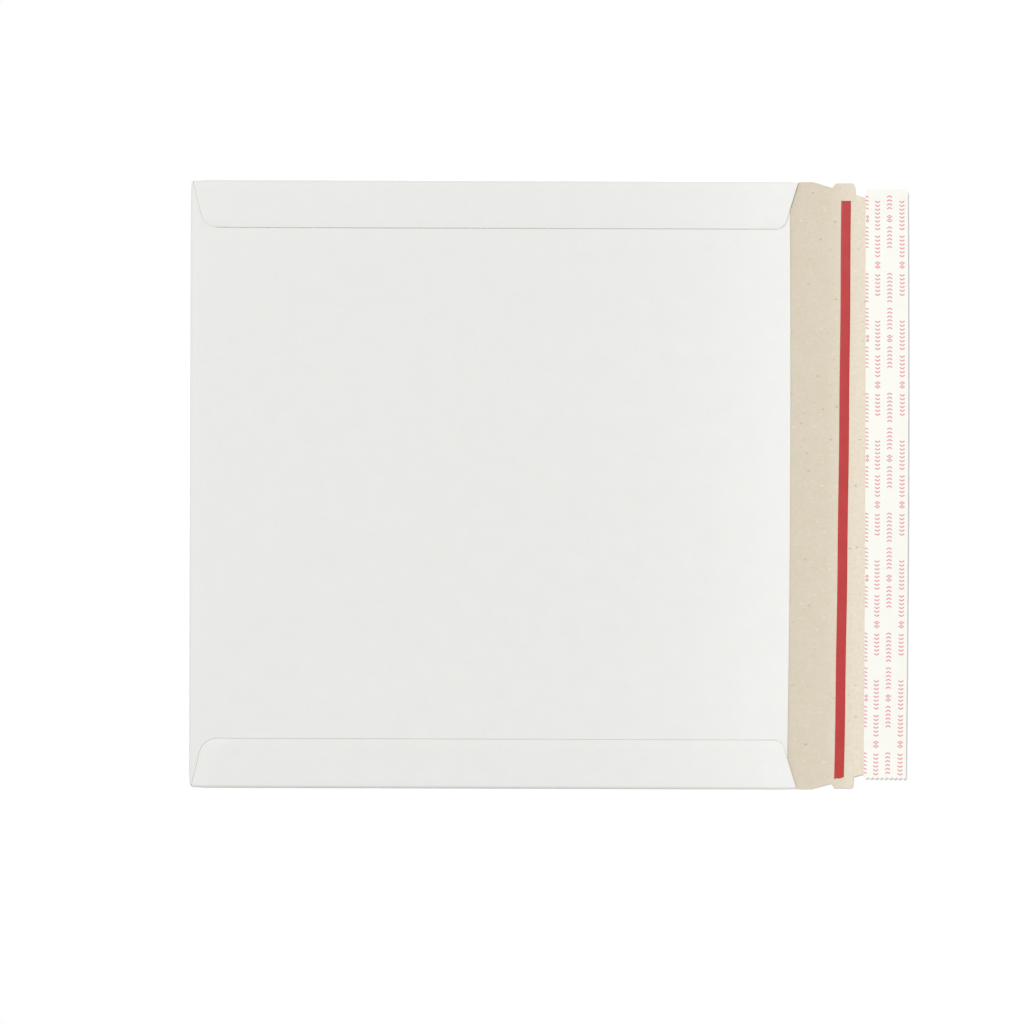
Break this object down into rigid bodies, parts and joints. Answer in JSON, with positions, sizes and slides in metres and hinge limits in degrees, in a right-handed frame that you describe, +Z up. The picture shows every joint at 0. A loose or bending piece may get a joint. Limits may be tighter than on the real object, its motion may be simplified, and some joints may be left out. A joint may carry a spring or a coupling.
{
  "type": "cardboard envelope",
  "caption": "Flat square mailing envelope of solid board, glued at both sides, with its closure flap open, a tear tape and a liner over the sealing strip.",
  "frame": {"origin": "middle of the square pocket, on the outer face of the front wall, which is the face it lies on", "axes": "+X from the bottom fold towards the open closure flap, +Y from side fold to side fold, +Z up out of the seam side"},
  "size_m": [0.2933, 0.248, 0.003],
  "materials": {
    "board": "smooth matt white outside, unbleached grey board inside",
    "seam_glue": "dried glue",
    "tear_tape": "smooth red film",
    "flap_adhesive": "tacky clear film",
    "release_liner": "smooth release paper with pale pink print"
  },
  "bodies": {
    "root": {"envelope_board": "board", "seam_glue_left": "seam_glue", "seam_glue_right": "seam_glue", "tear_tape": "tear_tape", "flap_adhesive": "flap_adhesive", "release_liner": "release_liner"}
  },
  "joints": []
}
